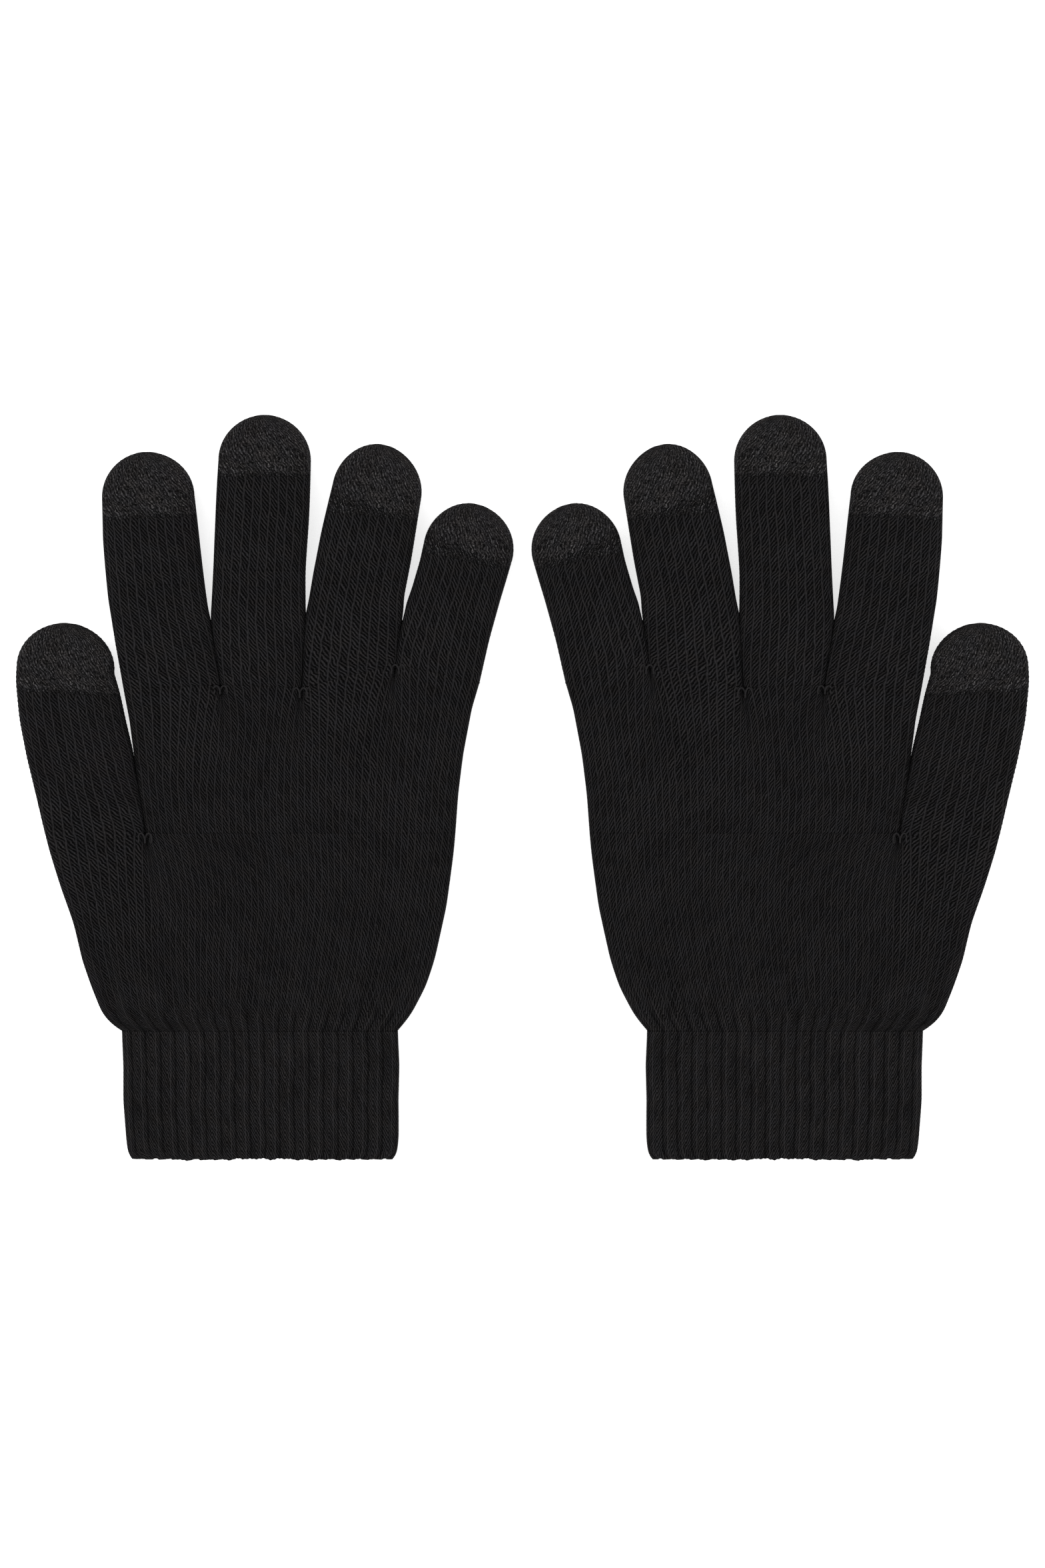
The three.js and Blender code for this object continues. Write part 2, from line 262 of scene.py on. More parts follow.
def knit_material(name, dark, light, fleck, fleck_amount, line_weight=0.84, rib_until=None, disorder=0.6,
                  heather=0.0, before=None, tilt=0.0, change=0.5):
    """Knitted fabric read in the knit map: one unit of u is a wale and one unit of v is a course.

    A wale is a broad column of slanting legs beside one thin upright line of legs. In a rib, which runs
    up to the course rib_until, only every third wale shows its slanting legs boldly, and only one
    upright line in three stands out. before is the colour of the yarn below the first course, which
    the new yarn takes over from unevenly within change courses, and later by tilt courses on the digit's
    edge towards the thumb.
    """
    material = bpy.data.materials.new(name)
    material.use_nodes = True
    tree = material.node_tree
    maths = Maths(tree)
    shader = tree.nodes["Principled BSDF"]
    knit_map = tree.nodes.new("ShaderNodeUVMap")
    knit_map.uv_map = "knit"
    uv = knit_map.outputs["UV"]
    split = tree.nodes.new("ShaderNodeSeparateXYZ")
    tree.links.new(uv, split.inputs[0])
    slack = maths("SUBTRACT", maths.noise(uv, 0.55), 0.5)
    sway = maths("SUBTRACT", maths.noise(uv, 0.21), 0.5)
    quiver = maths("SUBTRACT", maths.noise(uv, 1.15), 0.5)
    u = maths("MULTIPLY_ADD", sway, 0.8 * disorder, split.outputs["X"])
    u = maths("MULTIPLY_ADD", slack, 0.5 * disorder, u)
    u = maths("MULTIPLY_ADD", quiver, 0.15 * disorder, u)
    v = maths("MULTIPLY_ADD", slack, 1.3 * disorder, split.outputs["Y"])
    v = maths("MULTIPLY_ADD", quiver, 0.45 * disorder, v)
    across = maths("FRACT", u)

    slant = maths("MULTIPLY_ADD", across, SLANT, v)
    cell = tree.nodes.new("ShaderNodeCombineXYZ")
    tree.links.new(maths("FLOOR", u), cell.inputs[0])
    tree.links.new(maths("FLOOR", maths("ADD", slant, 0.5)), cell.inputs[1])
    chance = tree.nodes.new("ShaderNodeTexWhiteNoise")
    chance.noise_dimensions = "2D"
    tree.links.new(cell.outputs[0], chance.inputs["Vector"])
    lively = maths("MULTIPLY_ADD", chance.outputs["Value"], 0.55 + 0.5 * disorder, 0.75 - 0.4 * disorder)

    line = maths.bump(across, LINE_PLACE, 0.19)
    beads = maths("COSINE", maths("MULTIPLY", v, 2 * math.pi))
    line = maths("MULTIPLY", line, maths("MULTIPLY_ADD", beads, 0.12 * line_weight, 0.78 * line_weight))
    line = maths("MULTIPLY", line, maths("MULTIPLY_ADD", maths.noise(uv, 0.9, 3.0), 1.1, 0.65))
    stroke = maths("COSINE", maths("MULTIPLY", slant, 2 * math.pi))
    stroke = maths("POWER", maths("MULTIPLY_ADD", stroke, 0.5, 0.5), 1.6)
    column = maths("POWER", maths.bump(across, COLUMN_PLACE, 0.5), 0.45)
    if rib_until is not None:
        rib = maths("SUBTRACT", 1.0, maths.step(v, rib_until - 5, rib_until))
        third = maths("MULTIPLY", maths("FRACT", maths("DIVIDE", u, 3.0)), 3.0)
        plain = maths("MULTIPLY", maths.step(third, *PLAIN_WALES), rib)
        faint = maths("MULTIPLY", maths("SUBTRACT", 1.0, maths.step(third, *BOLD_LINE)), rib)
        line = maths("MULTIPLY", line, maths("MULTIPLY_ADD", faint, -0.85, 1.0))
        column = maths("MAXIMUM", column, maths("MULTIPLY", plain, 0.85))
    stroke = maths("MULTIPLY", maths("MULTIPLY", stroke, column), lively)
    stroke = maths("MULTIPLY", stroke, 1.25)
    relief = maths("MAXIMUM", line, stroke)

    fibre_map = tree.nodes.new("ShaderNodeCombineXYZ")
    tree.links.new(maths("MULTIPLY", u, 5.0), fibre_map.inputs[0])
    tree.links.new(maths("MULTIPLY", slant, 1.4), fibre_map.inputs[1])
    fibre = maths.noise(fibre_map.outputs[0], 2.2, 3.0)
    patch = maths.noise(uv, 0.09, 3.0)
    fuzz = maths.noise(uv, 5.5, 3.0)
    relief = maths("MULTIPLY_ADD", maths("SUBTRACT", fibre, 0.5), 0.8, relief)
    relief = maths("MULTIPLY_ADD", maths("SUBTRACT", fuzz, 0.5), 0.7, relief)

    shade = maths("MULTIPLY", relief, maths("MULTIPLY_ADD", patch, 0.7, 0.62), clamp=True)
    if heather:
        grains = tree.nodes.new("ShaderNodeVectorMath")
        grains.operation = "MULTIPLY"
        grains.inputs[1].default_value = (4.2, 3.0, 1.0)
        tree.links.new(uv, grains.inputs[0])
        grain = tree.nodes.new("ShaderNodeTexVoronoi")
        tree.links.new(grains.outputs[0], grain.inputs["Vector"])
        grain.inputs["Scale"].default_value = 1.0
        tone = maths("POWER", grain.outputs["Color"], 2.2)
        plain_tone = maths("MULTIPLY_ADD", shade, 1.0 - 0.5 * heather, 0.1 * heather)
        speckle = maths("MULTIPLY_ADD", tone, 3.8 * heather, 1.0 - 0.9 * heather)
        shade = maths("MULTIPLY", plain_tone, speckle, clamp=True)
    # Colour follows the relief: dark in its hollows as painted shade between the stitches, light on the
    # raised legs of yarn.
    colour = maths.mix(shade, dark, light)
    if before:
        ragged = maths("MULTIPLY", maths.noise(fibre_map.outputs[0], 0.35, 2.0), 2.2)
        from_turn = maths("ABSOLUTE", maths("SUBTRACT", split.outputs["X"], float(WALES_PER_DIGIT)))
        ragged = maths("MULTIPLY_ADD", from_turn, tilt / WALES_PER_DIGIT, ragged)
        taken_over = maths.step(v, maths("SUBTRACT", ragged, 0.5), maths("ADD", ragged, change - 0.5))
        colour = maths.mix(taken_over, maths.mix(shade, *before), colour)
    specks = maths.step(maths.noise(fibre_map.outputs[0], 2.9, 1.0), 0.56, 0.72)
    specks = maths("MULTIPLY", maths("MULTIPLY", specks, relief, clamp=True), fleck_amount)
    colour = maths.mix(specks, colour, fleck)
    warmth = maths.step(maths.noise(uv, 0.33, 3.0), 0.35, 0.65)
    tinted = tree.nodes.new("ShaderNodeMix")
    tinted.data_type = "RGBA"
    tinted.blend_type = "MULTIPLY"
    tinted.inputs["Factor"].default_value = 1.0
    tree.links.new(colour, tinted.inputs[6])
    tree.links.new(maths.mix(warmth, (0.98, 0.99, 1.03), (1.03, 1.0, 0.985)), tinted.inputs[7])
    tree.links.new(tinted.outputs[2], shader.inputs["Base Color"])

    rough = maths("MULTIPLY_ADD", fibre, -0.2, 0.98)
    tree.links.new(rough, shader.inputs["Roughness"])
    shader.inputs["Specular IOR Level"].default_value = 0.012
    shader.inputs["Sheen Weight"].default_value = 0.006
    shader.inputs["Sheen Roughness"].default_value = 0.5
    bump = tree.nodes.new("ShaderNodeBump")
    bump.inputs["Strength"].default_value = 0.8
    bump.inputs["Distance"].default_value = 0.0004
    tree.links.new(relief, bump.inputs["Height"])
    tree.links.new(bump.outputs[0], shader.inputs["Normal"])
    return material


def yarn_material(name, dark, light):
    """A single yarn, with fibres that wind round it."""
    material = bpy.data.materials.new(name)
    material.use_nodes = True
    tree = material.node_tree
    maths = Maths(tree)
    shader = tree.nodes["Principled BSDF"]
    place = tree.nodes.new("ShaderNodeTexCoord").outputs["Object"]
    fibre = maths.noise(place, 2600.0, 3.0)
    tree.links.new(maths.mix(fibre, dark, light), shader.inputs["Base Color"])
    shader.inputs["Roughness"].default_value = 0.9
    shader.inputs["Specular IOR Level"].default_value = 0.2
    bump = tree.nodes.new("ShaderNodeBump")
    bump.inputs["Strength"].default_value = 0.5
    bump.inputs["Distance"].default_value = 0.0002
    tree.links.new(fibre, bump.inputs["Height"])
    tree.links.new(bump.outputs[0], shader.inputs["Normal"])
    return material


# ---------------------------------------------------------------- shape helpers
def along(points, rows):
    """Points at even steps along a smooth line through the given points."""
    points = np.array(points, float)
    span = np.r_[0, np.cumsum(np.linalg.norm(np.diff(points, axis=0), axis=1))]
    steps, reach = 400, 60
    fine = np.linspace(0, span[-1], steps)
    line = np.stack([np.interp(fine, span, points[:, i]) for i in range(2)], 1)
    padded = np.concatenate([2 * line[0] - line[reach:0:-1], line, 2 * line[-1] - line[-2:-reach - 2:-1]])
    window = np.hanning(reach + 1)
    window /= window.sum()
    smooth = np.stack([np.convolve(padded[:, i], window, "same") for i in range(2)], 1)[reach:-reach]
    smooth[0], smooth[-1] = points[0], points[-1]
    return np.stack([np.interp(np.linspace(0, 1, rows), fine / span[-1], smooth[:, i]) for i in range(2)], 1)


def section(left, right, half_thick, squareness, half_count, inset=0.0):
    """A flattened ring of 2 * half_count points: over the palm side from left to right, then back below."""
    middle = (left + right) / 2
    across = (right - left) / 2
    half_wide = np.linalg.norm(across)
    across = across / half_wide
    half_wide -= inset
    half_thick -= inset
    angle = np.linspace(math.pi, 0, 400)
    x = half_wide * np.sign(np.cos(angle)) * np.abs(np.cos(angle)) ** (2 / squareness)
    z = half_thick * np.abs(np.sin(angle)) ** (2 / squareness)
    length = np.r_[0, np.cumsum(np.hypot(np.diff(x), np.diff(z)))]
    even = np.linspace(0, length[-1], half_count + 1)[:-1]
    x, z = np.interp(even, length, x), np.interp(even, length, z)
    x, z = np.r_[x, -x], np.r_[z, -z]
    return np.stack([middle[0] + across[0] * x, middle[1] + across[1] * x, MIDDLE_Z + z], 1)


def side_by_side(rings):
    """The palm-side halves of rings from left to right, then their backs from right to left."""
    half = [len(ring) // 2 for ring in rings]
    fronts = [ring[:n] for ring, n in zip(rings, half)]
    backs = [ring[n:] for ring, n in zip(rings, half)][::-1]
    joined = np.concatenate(fronts + backs)
    away = joined[:, 2] - MIDDLE_Z
    count = len(joined) // 2
    sign = np.r_[np.ones(count), -np.ones(count)]
    joined[:, 2] = MIDDLE_Z + sign * np.maximum(np.abs(away), 0.9)
    return joined


def smoothstep(x, low, high):
    t = np.clip((x - low) / (high - low), 0, 1)
    return t * t * (3 - 2 * t)


def ripple(x, y):
    """Smooth unevenness between about -1 and 1."""
    random = np.random.default_rng(5)
    total = np.zeros(np.broadcast(x, y).shape)
    for _ in range(9):
        reach = random.uniform(14, 45)
        heading = random.uniform(0, math.pi)
        phase = random.uniform(0, 2 * math.pi)
        total += np.sin((x * math.cos(heading) + y * math.sin(heading)) * 2 * math.pi / reach + phase)
    return total / 4.5


def rest_on_table(z):
    """Heights that are pressed smoothly to stay above the table."""
    clear, soft = 0.05, 0.3
    return clear + soft * np.logaddexp(0, (z - clear) / soft)


def stitch_relief(u, v, ribbed):
    """Height of the stitches, 0 to 1, with u in wales and v in courses."""
    across = u % 1
    third = u % 3
    line = 0.7 * np.clip(1 - np.abs(across - LINE_PLACE) / 0.2, 0, 1)
    slant = 0.5 + 0.5 * np.cos(2 * math.pi * (v + SLANT * across))
    column = np.clip(1 - np.abs(across - COLUMN_PLACE) / 0.5, 0, 1) ** 0.45
    if ribbed:
        plain = smoothstep(third, *PLAIN_WALES)
        line = line * (0.1 + 1.3 * smoothstep(third, *BOLD_LINE))
        column = np.maximum(column, 0.95 * plain)
    return np.maximum(line, (0.4 + 0.45 * slant) * column)


def rib_relief(u):
    """Height of the rib: two wales stand out and the third lies back."""
    return 0.5 + 0.5 * np.cos(2 * math.pi * (u - 2.1) / 3)


# ---------------------------------------------------------------- grids of fabric
class Fabric:
    """A tube of fabric: rings of points from its first row to its last, and the same for its inner face."""

    def __init__(self, outer, inner, first_course=0.0, ribbed=False, closed_end=False, stitches=1.0):
        self.outer = outer
        self.inner = inner
        self.closed_end = closed_end
        rows, columns = outer.shape[:2]
        column = np.arange(columns + 1) / WALE_SAMPLES
        row = np.arange(rows) / COURSE_SAMPLES
        stretch = 1 + (stitches - 1) * smoothstep(row, 0, 16)
        centre = WALES_PER_DIGIT / 2
        self.u = centre + stretch[:, None] * (column[None, :] - centre)
        self.v = first_course + row
        across = np.roll(outer, -1, 1) - np.roll(outer, 1, 1)
        up = np.gradient(outer, axis=0)
        normal = np.cross(across, up)
        normal /= np.maximum(np.linalg.norm(normal, axis=2, keepdims=True), 1e-9)
        u = self.u[:, :-1]
        height = STITCH_HEIGHT * (stitch_relief(u, self.v[:, None], ribbed) - 0.85)
        if ribbed:
            height = 0.35 * height + 0.04 * (rib_relief(u) - 0.75)
        uneven = 0.3 * ripple(outer[..., 0] + 0.6 * outer[..., 2], outer[..., 1])
        if closed_end:
            height[-COURSE_SAMPLES:] *= 0.3
        self.surface = outer + normal * (height + uneven)[..., None]
        self.surface[..., 2] = rest_on_table(self.surface[..., 2])

    def rows(self, first, last):
        """The part of the tube between two courses, counted from its first row."""
        part = object.__new__(Fabric)
        a, b = first * COURSE_SAMPLES, last * COURSE_SAMPLES + 1
        inner_step = COURSE_SAMPLES // INNER_STEP
        part.surface = self.surface[a:b]
        part.inner = self.inner[first * inner_step:last * inner_step + 1]
        part.u, part.v = self.u[a:b], self.v[a:b]
        part.closed_end = False
        return part


def grid_faces(rows, columns, start, flip):
    """Quads between rings of points, with the ring's column numbers left unwrapped for the knit map."""
    row, column = np.meshgrid(np.arange(rows - 1), np.arange(columns), indexing="ij")
    row, column = row.ravel(), column.ravel()
    corners = [(row, column), (row, column + 1), (row + 1, column + 1), (row + 1, column)]
    if flip:
        corners = corners[::-1]
    index = np.stack([start + r * columns + c % columns for r, c in corners], 1)
    return index, np.stack([r for r, c in corners], 1), np.stack([c for r, c in corners], 1)


def fabric_mesh(name, part, mirrored):
    """Makes the mesh of a tube of fabric: outer face, inner face and the rims that join them."""
    outer, inner = part.surface, part.inner
    rows, columns = outer.shape[:2]
    inner_rows, inner_columns = inner.shape[:2]
    points = np.concatenate([outer.reshape(-1, 3), inner.reshape(-1, 3)])
    start = rows * columns
    loops, sizes, us, vs = [], [], [], []

    def add(index, u, v):
        loops.append(index.ravel())
        sizes.append(np.full(len(index), index.shape[1]))
        us.append(u.ravel())
        vs.append(v.ravel())

    index, r, c = grid_faces(rows, columns, 0, False)
    add(index, part.u[r, c], part.v[r])
    index, r, c = grid_faces(inner_rows, inner_columns, start, True)
    step = columns // inner_columns
    tall = (rows - 1) // (inner_rows - 1)
    add(index, part.u[r * tall, c * step], part.v[r * tall])

    m = np.arange(inner_columns)
    fine = m[:, None] * step + np.arange(step + 1)[None, :]

    def rim(outer_row, inner_row, flip):
        ring = outer_row * columns + fine % columns
        inside = start + inner_row * inner_columns + np.stack([(m + 1) % inner_columns, m], 1)
        index = np.concatenate([ring, inside], 1)
        u = part.u[outer_row, np.concatenate([fine, fine[:, -1:], fine[:, :1]], 1)]
        v = np.full(index.shape, part.v[outer_row])
        v[:, -2:] += 0.8
        if flip:
            index, u, v = index[:, ::-1], u[:, ::-1], v[:, ::-1]
        add(index, u, v)

    rim(0, 0, True)
    if part.closed_end:
        ends = ((rows - 1, 0, columns, False), (inner_rows - 1, start, inner_columns, True))
        for row, base, count, flip in ends:
            ring = base + row * count + np.arange(count)
            u = part.u[-1, :columns:columns // count]
            order = slice(None, None, -1 if flip else 1)
            cap = ring[None, order]
            add(cap, u[None, order], np.full(cap.shape, part.v[-1]))
    else:
        rim(rows - 1, inner_rows - 1, False)

    index = np.concatenate(loops)
    sizes = np.concatenate(sizes)
    uv = np.stack([np.concatenate(us), np.concatenate(vs)], 1)
    return make_mesh(name, points, index, sizes, uv, mirrored)


def make_mesh(name, points, index, sizes, uv, mirrored):
    """A mesh in metres in the row frame from points in millimetres in the glove's frame."""
    points = points + np.array([-GLOVE_X, WRIST_Y, 0])
    starts = np.r_[0, np.cumsum(sizes)[:-1]]
    if mirrored:
        points = points * np.array([-1, 1, 1])
        ends = np.repeat(starts + sizes - 1, sizes)
        place = np.arange(len(index)) - np.repeat(starts, sizes)
        order = ends - place
        index, uv = index[order], uv[order]
    mesh = bpy.data.meshes.new(name)
    mesh.vertices.add(len(points))
    mesh.vertices.foreach_set("co", (points / 1000).astype(np.float32).ravel())
    mesh.loops.add(len(index))
    mesh.loops.foreach_set("vertex_index", index.astype(np.int32))
    mesh.polygons.add(len(sizes))
    mesh.polygons.foreach_set("loop_start", starts.astype(np.int32))
    mesh.polygons.foreach_set("use_smooth", sizes == 4)
    mesh.uv_layers.new(name="knit").data.foreach_set("uv", uv.astype(np.float32).ravel())
    mesh.update(calc_edges=True)
    mesh.validate()
    piece = bpy.data.objects.new(name, mesh)
    bpy.context.scene.collection.objects.link(piece)
    return piece


def yarn_mesh(name, path, radius, sides, mirrored):
    """A yarn of even thickness along a line of points, with flat ends."""
    path = np.asarray(path, float)
    ahead = np.gradient(path, axis=0)
    ahead /= np.linalg.norm(ahead, axis=1, keepdims=True)
    side = np.cross(ahead, [0.3, 0.2, 0.93])
    side /= np.linalg.norm(side, axis=1, keepdims=True)
    other = np.cross(ahead, side)
    turn = np.arange(sides) * 2 * math.pi / sides
    rings = path[:, None] + radius * (np.cos(turn)[None, :, None] * side[:, None]
                                      + np.sin(turn)[None, :, None] * other[:, None])
    index, r, c = grid_faces(len(path), sides, 0, False)
    last = (len(path) - 1) * sides
    caps = np.stack([np.arange(sides)[::-1], last + np.arange(sides)])
    loops = np.concatenate([index.ravel(), caps.ravel()])
    sizes = np.r_[np.full(len(index), 4), np.full(2, sides)]
    uv = np.zeros((len(loops), 2))
    uv[:index.size, 0] = c.ravel() / sides
    uv[:index.size, 1] = r.ravel()
    return make_mesh(name, rings.reshape(-1, 3), loops, sizes, uv, mirrored)


# ---------------------------------------------------------------- the glove's fabric
def digit_fabric(name):
    """A digit's tube from the stitches that close it off up to its rounded end."""
    digit = DIGITS[name]
    side = np.linalg.norm(np.diff(np.array(digit["left"]), axis=0), axis=1).sum()
    other = np.linalg.norm(np.diff(np.array(digit["right"]), axis=0), axis=1).sum()
    straight = round((side + other) / 2 / COURSE)
    left = along(digit["left"], straight * COURSE_SAMPLES + 1)
    right = along(digit["right"], straight * COURSE_SAMPLES + 1)
    across = right[-1] - left[-1]
    half = np.linalg.norm(across) / 2
    forward = np.array([-across[1], across[0]]) / (2 * half)
    middle = (left[-1] + right[-1]) / 2
    turn = np.linspace(0, math.radians(84), END_COURSES * COURSE_SAMPLES + 1)[1:]
    held = (9, 16) if name == "thumb" else (17, 24)
    press = 0.3 * (1 - smoothstep(np.arange(len(left)) * COURSE / COURSE_SAMPLES, *held))
    left_press, right_press = (press * touching for touching in digit["touches"])

    close = 1 - smoothstep(np.arange(len(left)) * COURSE / COURSE_SAMPLES, 8, 30)
    squareness = DIGIT_SQUARENESS + (ROOT_SQUARENESS - DIGIT_SQUARENESS) * close

    def rings(inset, samples, row_step):
        result = []
        half_count = WALES_PER_DIGIT * samples
        for i in range(0, len(left), row_step):
            lean = (right[i] - left[i]) / np.linalg.norm(right[i] - left[i])
            result.append(section(left[i] - lean * left_press[i], right[i] + lean * right_press[i],
                                  DIGIT_HALF_THICK, squareness[i], half_count, inset))
        for angle in turn[row_step - 1::row_step]:
            reach = middle + forward * math.sin(angle) * (digit["round"] - inset)
            wide = across / 2 * max(math.cos(angle), 0.1)
            thick = (DIGIT_HALF_THICK - inset) * max(math.cos(angle), 0.1) ** 0.55
            result.append(section(reach - wide, reach + wide, thick + inset, DIGIT_SQUARENESS, half_count,
                                  min(inset, 0.5 * np.linalg.norm(wide))) if thick > 0 else result[-1])
        return np.array(result)

    outer = rings(0.0, WALE_SAMPLES, 1)
    inner = rings(WALL, WALE_SAMPLES // INNER_STEP, INNER_STEP)
    first = HIGH_COURSES if name != "thumb" else LOW_COURSES
    return Fabric(outer, inner, first, closed_end=True, stitches=DIGIT_STITCHES[name])


def first_section(name, samples, inset=0.0):
    digit = DIGITS[name]
    left, right = np.array(digit["left"][0]), np.array(digit["right"][0])
    return section(left, right, DIGIT_HALF_THICK, ROOT_SQUARENESS, WALES_PER_DIGIT * samples, inset)


def hand_grid(left_edge, right_edge, courses, wales, top, samples, row_step, inset, joins, half_thicks):
    """Rows of a flat hand tube that end in a given top ring, which fades out below it.

    joins gives the wale numbers and places where the top ring goes from one digit to the next, ends
    included. The wales reach those places little by little, and the ring's hollows fade much sooner.
    """
    rows = courses * COURSE_SAMPLES + 1
    left, right = along(left_edge, rows), along(right_edge, rows)
    thick = np.linspace(*half_thicks, rows)
    flat = np.array([section(left[i], right[i], thick[i], HAND_SQUARENESS, wales * samples, inset)
                     for i in range(0, rows, row_step)])
    below = np.arange(0, rows, row_step)[::-1] * COURSE / COURSE_SAMPLES
    last = flat[-1]
    columns = [min(wale * samples, wales * samples - 1) for wale, _ in joins]
    reach = last[columns, 0]
    reach[0], reach[-1] = last[:, 0].min(), last[:, 0].max()
    places = np.array([place for _, place in joins], float)
    places[0, 0] += inset
    places[-1, 0] -= inset
    eased = last.copy()
    for axis in range(2):
        eased[:, axis] = np.interp(last[:, 0], reach, places[:, axis])
    spread = (1 - smoothstep(below, 0, courses * COURSE * 0.95))[:, None, None]
    fade = np.array([PLACE_FADE, PLACE_FADE, DIP_FADE])
    dip = np.exp(-(below[:, None, None] / fade) ** 1.3)
    return flat + (eased - last) * spread + (top - eased) * dip


def high_fabric():
    """The hand above the thumb, up to the stitches that close the fingers off."""

    def grid(samples, row_step, inset):
        top = side_by_side([first_section(name, samples, inset) for name in FINGERS])
        starts = [DIGITS[name]["left"][0] for name in FINGERS] + [RIGHT_HIGH[-1]]
        joins = [(i * WALES_PER_DIGIT, place) for i, place in enumerate(starts)]
        courses = HIGH_COURSES - LOW_COURSES
        return hand_grid(LEFT_HIGH, RIGHT_HIGH, courses, HIGH_WALES, top, samples, row_step, inset, joins,
                         (HAND_HALF_THICK, HAND_HALF_THICK))

    return Fabric(grid(WALE_SAMPLES, 1, 0.0), grid(WALE_SAMPLES // INNER_STEP, INNER_STEP, WALL), LOW_COURSES)


def gather(rings):
    """Soft folds where the cuff draws the hand in."""
    x, y = rings[..., 0], rings[..., 1]
    side = np.sign(rings[..., 2] - MIDDLE_Z)
    fan = x / (1 + 0.006 * y)
    amount = np.exp(-np.maximum(y, 0) / 13.0) * smoothstep(y, -1, 11)
    folds = np.sin(fan * 0.62 + 1.3 * np.sin(fan * 0.19)) + 0.6 * np.sin(fan * 1.17 + 1.7)
    rings[..., 2] += side * 1.6 * amount * folds * smoothstep(np.abs(rings[..., 2] - MIDDLE_Z), 1.5, 4.5)
    return rings


def low_fabric():
    """The hand from the wrist up to the thumb's root."""

    def grid(samples, row_step, inset):
        thumb = first_section("thumb", samples, inset)
        palm = section(np.array(LEFT_HIGH[0]), np.array(RIGHT_HIGH[0]), HAND_HALF_THICK, HAND_SQUARENESS,
                       HIGH_WALES * samples, inset)
        top = side_by_side([thumb, palm])
        joins = [(0, THUMB_ROOT), (WALES_PER_DIGIT, THUMB_CLOSING), (LOW_WALES, RIGHT_LOW[-1])]
        rings = hand_grid(LEFT_LOW, RIGHT_LOW, LOW_COURSES, LOW_WALES, top, samples, row_step, inset, joins,
                          (CUFF_HALF_THICK, HAND_HALF_THICK))
        return gather(rings)

    return Fabric(grid(WALE_SAMPLES, 1, 0.0), grid(WALE_SAMPLES // INNER_STEP, INNER_STEP, WALL))


def cuff_fabric():
    """The ribbed tube below the wrist."""
    def grid(samples, row_step, inset):
        rows = CUFF_COURSES * COURSE_SAMPLES + 1
        a, b = along(CUFF_LEFT, rows), along(CUFF_RIGHT, rows)
        up = np.arange(rows) / COURSE_SAMPLES
        thick = CUFF_HALF_THICK - 0.7 * (1 - smoothstep(up, 0, 1.5))
        rings = np.array([section(a[i], b[i], thick[i], HAND_SQUARENESS, LOW_WALES * samples, inset)
                          for i in range(0, rows, row_step)])
        u = np.arange(rings.shape[1]) / samples
        wave = 0.1 * np.cos(2 * math.pi * u) + 0.26 * rib_relief(u) + 0.25 * ripple(5 * u, 0 * u)
        rings[..., 1] -= wave[None, :] * (1 - smoothstep(up[::row_step], 0, 3))[:, None]
        return rings

    inner = grid(WALE_SAMPLES // INNER_STEP, INNER_STEP, WALL)
    return Fabric(grid(WALE_SAMPLES, 1, 0.0), inner, -CUFF_COURSES, ribbed=True)


# ---------------------------------------------------------------- the glove
def finish_piece(piece, material, nodes):
    piece.data.materials.append(material)
    if nodes:
        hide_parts(*nodes)


def fold_line(joint_name):
    """Where a digit's joint lies and which way is outwards from it, in the row frame."""
    joint = next(j for j in frame["joints"] if j["name"] == joint_name)
    place, axis = np.array(joint["pos_m"]), np.array(joint["axis"])
    return place, np.cross([0, 0, 1], axis)


def bend_over(piece, joint_name, before, after):
    """Bakes a piece's placement into its mesh; the joint and the distances before and after its fold line are
    not used.
    """
    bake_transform(piece)


def course_at(fabric, joint_name):
    """The course of a digit's tube that lies on a joint's fold line."""
    place, _ = fold_line(joint_name)
    middle = fabric.outer.mean(axis=1)[::COURSE_SAMPLES, :2]
    target = place[:2] * 1000 + np.array([GLOVE_X, -WRIST_Y])
    return int(np.argmin(np.linalg.norm(middle - target, axis=1)))


def add_digit(side, name, fabric, materials, mirrored):
    folds = [("root_fold", "sleeve"), ("tip_fold", "tip")]
    if name != "thumb":
        folds = [("root_fold", "lower_sleeve"), ("middle_fold", "upper_sleeve"), ("tip_fold", "tip")]
    marks = [course_at(fabric, f"left_{name}_{fold}") for fold, _ in folds]
    total = (len(fabric.surface) - 1) // COURSE_SAMPLES
    tilted = name in TILTED_TIPS
    tip_start = marks[-1] - (TILT_START if tilted else 0)
    cuts = [0] + [(a + b) // 2 for a, b in zip(marks[:-2], marks[1:-1])] + [tip_start, total]
    for (fold, label), first, last in zip(folds, cuts[:-1], cuts[1:]):
        part = fabric.rows(first, last)
        part.closed_end = last == total
        node = f"{side}_{name}_{label}"
        grey = label == "tip"
        if grey:
            part.v = part.v - part.v[0]
        piece = fabric_mesh(f"{node}_knit", part, mirrored)
        tip = "tilted_tip" if tilted else "tip"
        finish_piece(piece, materials[tip if grey else "body"], [node])
        room = (last - first) * COURSE / 1000
        if grey:
            bend_over(piece, f"{side}_{name}_{fold}", *TIP_BEND)
        elif name == "thumb":
            bend_over(piece, f"{side}_{name}_{fold}", *THUMB_BEND)
        else:
            reach = min(KNUCKLE_REACH, room / 3)
            bend_over(piece, f"{side}_{name}_{fold}", reach, reach)


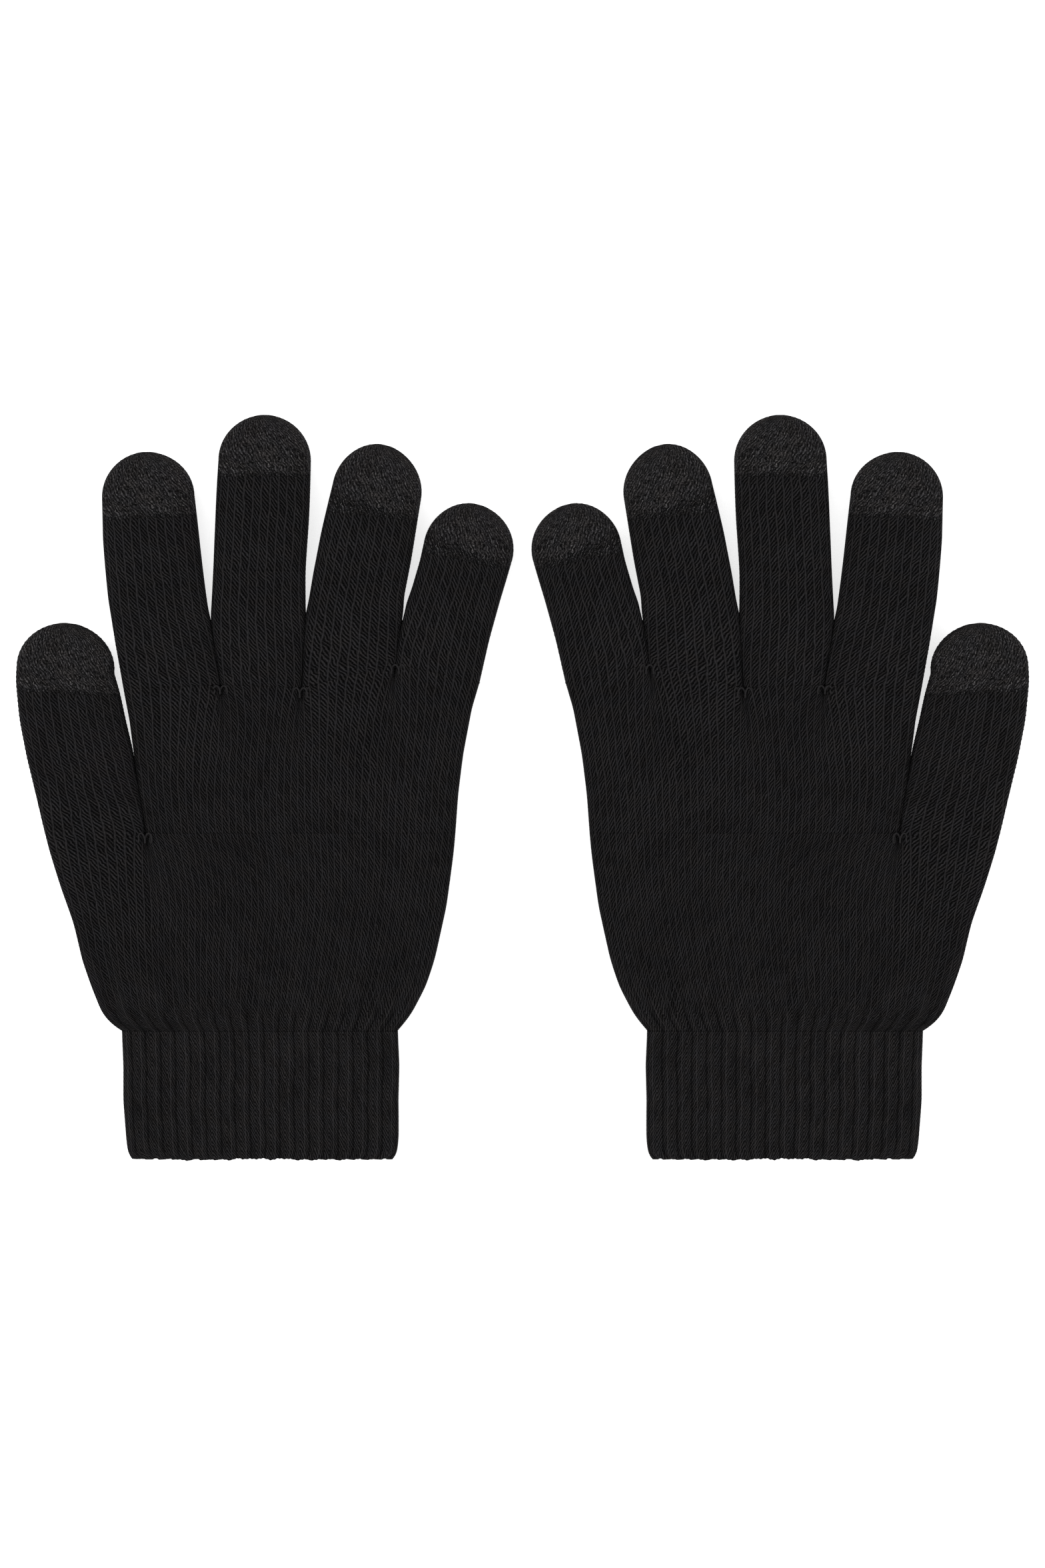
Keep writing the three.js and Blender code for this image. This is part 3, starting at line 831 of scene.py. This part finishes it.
def add_closing_stitch(side, name, place, mirrored, materials):
    """A small winding of the yarn end that closes the knitting between two digits."""
    random = np.random.default_rng(sum(map(ord, name)))
    t = np.linspace(0, 1, 120)
    turn = 2 * math.pi * (6 * t + random.uniform(0, 1))
    x = place[0] + 2.2 * np.cos(2 * math.pi * t) + 0.5 * np.cos(turn)
    y = place[1] - 1.4 + random.uniform(1.1, 1.4) * np.sin(turn)
    z = MIDDLE_Z + 4.3 * np.cos(math.pi * smoothstep(t, 0.42, 0.58)) + 0.35 * np.cos(turn)
    piece = yarn_mesh(f"{side}_{name}_closing_yarn", np.stack([x, y, z], 1), 0.26, 8, mirrored)
    finish_piece(piece, materials["yarn"], [f"{side}_{name}_closing_stitch"])
    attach(piece, f"{side}_palm")


def add_glove(side, fabrics, materials):
    mirrored = side == "right"
    palm, cuff = f"{side}_palm", f"{side}_cuff_rib"
    low = fabric_mesh(f"{side}_hand_low_knit", fabrics["low"], mirrored)
    finish_piece(low, materials["body"], [f"{side}_hand"])
    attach(low, palm)
    high = fabric_mesh(f"{side}_hand_high_knit", fabrics["high"], mirrored)
    finish_piece(high, materials["body"], [f"{side}_hand"])
    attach(high, palm)
    for name in DIGITS:
        add_digit(side, name, fabrics[name], materials, mirrored)
    rib = fabric_mesh(f"{side}_cuff_knit", fabrics["cuff"].rows(HEM_COURSES, CUFF_COURSES), mirrored)
    finish_piece(rib, materials["rib"], [f"{side}_cuff"])
    bend_over(rib, f"{side}_wrist_fold", *WRIST_BEND)

    hem = fabric_mesh(f"{side}_cuff_hem_knit", fabrics["cuff"].rows(0, HEM_COURSES), mirrored)
    finish_piece(hem, materials["rib"], [f"{side}_cuff_hem"])
    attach(hem, cuff)
    elastic = elastic_mesh(f"{side}_cuff_elastic_thread", mirrored)
    finish_piece(elastic, materials["elastic"], [f"{side}_cuff_elastic"])
    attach(elastic, cuff)

    for name, place in CLOSINGS.items():
        add_closing_stitch(side, name, place, mirrored, materials)


def elastic_mesh(name, mirrored):
    """The covered elastic, wound inside the cuff."""
    turns, per_turn = 6, 60
    t = np.arange(turns * per_turn + 1) / per_turn
    angle = 2 * math.pi * t
    x = 37.0 * np.sign(np.cos(angle)) * np.abs(np.cos(angle)) ** 0.4
    z = MIDDLE_Z + 3.0 * np.sign(np.sin(angle)) * np.abs(np.sin(angle)) ** 0.4
    y = -5 - 5 * t
    return yarn_mesh(name, np.stack([x, y, z], 1), 0.35, 6, mirrored)


set_camera()
set_light()
set_floor()
tip_look = {"line_weight": 0.4, "disorder": 0.9, "heather": 0.75, "before": BODY_YARN_AND_SHADE}
made = {
    "body": knit_material("body_knit", *BODY_YARN_AND_SHADE, BODY_FLECK, 0.15, rib_until=9, before=RIB_YARN_AND_SHADE,
                          change=18.0),
    "tip": knit_material("tip_knit", *TIP_YARN_AND_SHADE, TIP_FLECK, 0.7, **tip_look),
    "tilted_tip": knit_material("tilted_tip_knit", *TIP_YARN_AND_SHADE, TIP_FLECK, 0.7, tilt=TILT_COURSES, **tip_look),
    "rib": knit_material("rib_knit", *RIB_YARN_AND_SHADE, BODY_FLECK, 0.15, line_weight=0.9, rib_until=500),
    "yarn": yarn_material("closing_yarn", (0.006, 0.0055, 0.006), (0.03, 0.028, 0.029)),
    "elastic": yarn_material("elastic_thread", (0.004, 0.004, 0.004), (0.012, 0.012, 0.012)),
}
tubes = {name: digit_fabric(name) for name in DIGITS}
tubes["low"] = low_fabric()
tubes["high"] = high_fabric()
tubes["cuff"] = cuff_fabric()
add_glove("left", tubes, made)
add_glove("right", tubes, made)
